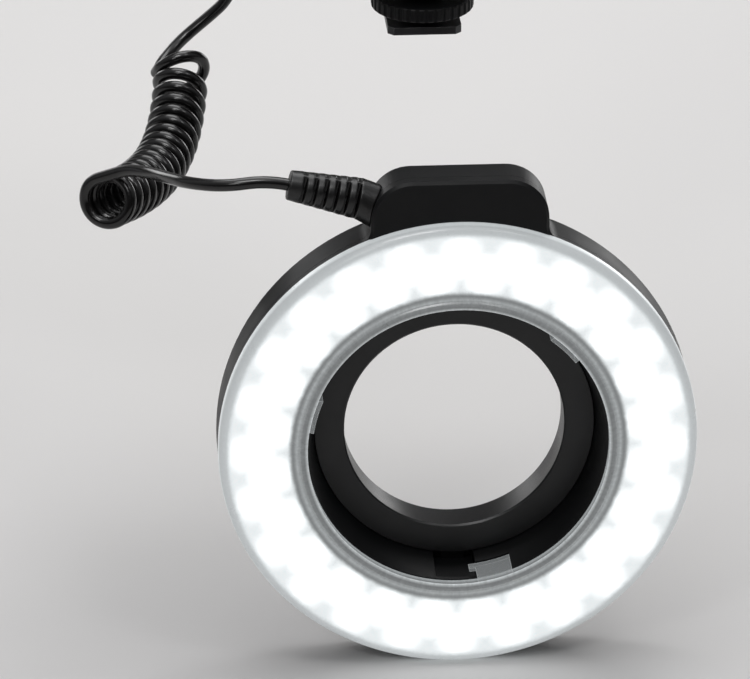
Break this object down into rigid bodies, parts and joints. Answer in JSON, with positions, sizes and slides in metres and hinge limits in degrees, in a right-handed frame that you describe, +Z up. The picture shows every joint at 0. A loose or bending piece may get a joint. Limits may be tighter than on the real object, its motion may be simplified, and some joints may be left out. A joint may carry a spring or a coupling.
{
  "type": "lens-mounted macro light",
  "caption": "Ring-shaped macro light on a lens's filter thread, with a curly cord to a battery-powered control unit on a shoe foot.",
  "frame": {"origin": "centre of the adapter ring's shoulder, where its filter thread begins", "axes": "the light shines towards -Y, the lens is behind at +Y, +Z is up, +X is to the right seen from the front"},
  "size_m": [0.1473, 0.1532, 0.225],
  "materials": {
    "white_diffuser": "translucent satin",
    "black_shell": "fine satin",
    "black_anodised": "satin anodised",
    "white_tray": "satin",
    "white_board": "solder resist",
    "green_board": "solder resist",
    "led_chip": "clear over phosphor",
    "chip_black": "moulded",
    "inner_black": "satin",
    "spring_steel": "bright wire",
    "fixing_steel": "plated",
    "contact_metal": "plated",
    "cord_rubber": "semi-gloss",
    "wire_cover": "gloss",
    "cell_jacket": "plain gloss jacket",
    "display": "blank display",
    "window": "clear",
    "key_rubber": "soft touch",
    "status_red": "clear tint",
    "foot_metal": "satin"
  },
  "bodies": {
    "head_and_unit": {"aa_cells": "cell_jacket", "battery_holder": "inner_black", "battery_plates": "contact_metal", "battery_springs": "spring_steel", "board_parts": "chip_black", "case_cover": "black_shell", "case_main": "black_shell", "case_screws": "fixing_steel", "catch_spring": "spring_steel", "cord_clamp": "inner_black", "cord_lead": "cord_rubber", "cord_tail": "cord_rubber", "curly_cord": "cord_rubber", "door_pins": "fixing_steel", "driver_board": "green_board", "driver_parts": "chip_black", "foot_bracket": "fixing_steel", "foot_screw": "fixing_steel", "head_boot": "cord_rubber", "head_front_frame": "black_shell", "head_rear_housing": "black_shell", "head_screws": "fixing_steel", "head_wires": "wire_cover", "lcd_module": "display", "lcd_window": "window", "led_board": "white_board", "led_chips_inner": "led_chip", "led_chips_outer": "led_chip", "main_board": "green_board", "reflector_tray": "white_tray", "shoe_foot": "foot_metal", "slide_switch": "chip_black", "status_lens": "status_red", "tact_switches": "chip_black", "unit_boot": "cord_rubber"},
    "adapter": {"adapter_ring": "black_anodised"},
    "catch": {"adapter_catch": "black_shell"},
    "diffuser": {"diffuser": "white_diffuser"},
    "door": {"battery_door": "black_shell", "door_contacts": "contact_metal"},
    "slider": {"power_slider": "key_rubber"},
    "wheel": {"lock_wheel": "black_shell"},
    "mode_key": {"button_mode": "key_rubber"},
    "minus_key": {"button_minus": "key_rubber"},
    "plus_key": {"button_plus": "key_rubber"},
    "test_key": {"button_test": "key_rubber"}
  },
  "joints": [
    {"name": "adapter_turn", "type": "hinge", "parent": "head_and_unit", "child": "adapter", "pos_m": [0, 0, 0], "axis": [0, 1, 0], "continuous": true},
    {"name": "catch_press", "type": "slide", "parent": "head_and_unit", "child": "catch", "axis": [0, 0, -1], "range_m": [0, 0.0018], "stiffness_N_per_m": 500, "springref_m": -0.001, "deforming": ["catch_spring"]},
    {"name": "diffuser_pull", "type": "slide", "parent": "head_and_unit", "child": "diffuser", "axis": [0, -1, 0], "range_m": [0, 0.02]},
    {"name": "door_swing", "type": "hinge", "parent": "head_and_unit", "child": "door", "pos_m": [0.0306, 0.105, 0.1009], "axis": [0, 1, 0], "range_deg": [0, 90]},
    {"name": "power_slide", "type": "slide", "parent": "head_and_unit", "child": "slider", "axis": [1, 0, 0], "range_m": [0, 0.004]},
    {"name": "wheel_turn", "type": "hinge", "parent": "head_and_unit", "child": "wheel", "pos_m": [0, 0.0985, 0.07], "axis": [0, 0, 1], "continuous": true},
    {"name": "mode_press", "type": "slide", "parent": "head_and_unit", "child": "mode_key", "axis": [0, -1, 0], "range_m": [0, 0.001], "stiffness_N_per_m": 800, "springref_m": -0.0008},
    {"name": "minus_press", "type": "slide", "parent": "head_and_unit", "child": "minus_key", "axis": [0, -1, 0], "range_m": [0, 0.001], "stiffness_N_per_m": 800, "springref_m": -0.0008},
    {"name": "plus_press", "type": "slide", "parent": "head_and_unit", "child": "plus_key", "axis": [0, -1, 0], "range_m": [0, 0.001], "stiffness_N_per_m": 800, "springref_m": -0.0008},
    {"name": "test_press", "type": "slide", "parent": "head_and_unit", "child": "test_key", "axis": [0, -1, 0], "range_m": [0, 0.001], "stiffness_N_per_m": 800, "springref_m": -0.0008}
  ]
}
